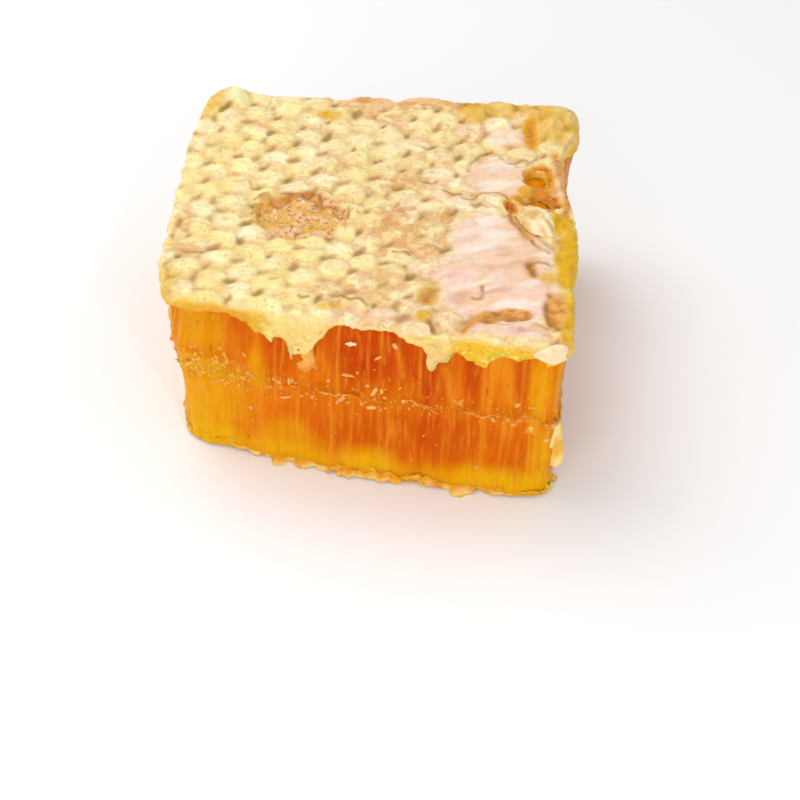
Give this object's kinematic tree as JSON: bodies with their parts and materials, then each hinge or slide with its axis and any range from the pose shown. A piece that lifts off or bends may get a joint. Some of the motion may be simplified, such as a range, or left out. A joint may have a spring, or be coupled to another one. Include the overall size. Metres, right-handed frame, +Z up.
{
  "type": "honeycomb piece",
  "caption": "Square piece cut out of a capped honeycomb: domed wax caps above, honey-filled cells in the cut sides, a wax midrib half way up and a flat capped underside.",
  "frame": {"origin": "middle of the footprint on the ground, under the centre of the bounding box", "axes": "+Z up through the layers, the capped side with the smooth wet patch upwards; -Y is the cut face with the torn wax tongues"},
  "size_m": [0.07, 0.0713, 0.0353],
  "materials": {
    "capping_wax": "pale cream beeswax caps, satin, with olive-brown dimples and pinkish honey-wet patches",
    "comb_honey": "clear amber honey in thin wax cells, wet and glossy, deep orange to golden yellow",
    "midrib_wax": "thin honey-soaked wax sheet, broken edge with pale bits",
    "hem_wax": "yellow honey-soaked wax capping with a ragged pale edge"
  },
  "bodies": {
    "root": {"top_capping": "capping_wax", "upper_comb": "comb_honey", "midrib": "midrib_wax", "lower_comb": "comb_honey", "bottom_capping": "hem_wax"}
  },
  "joints": []
}
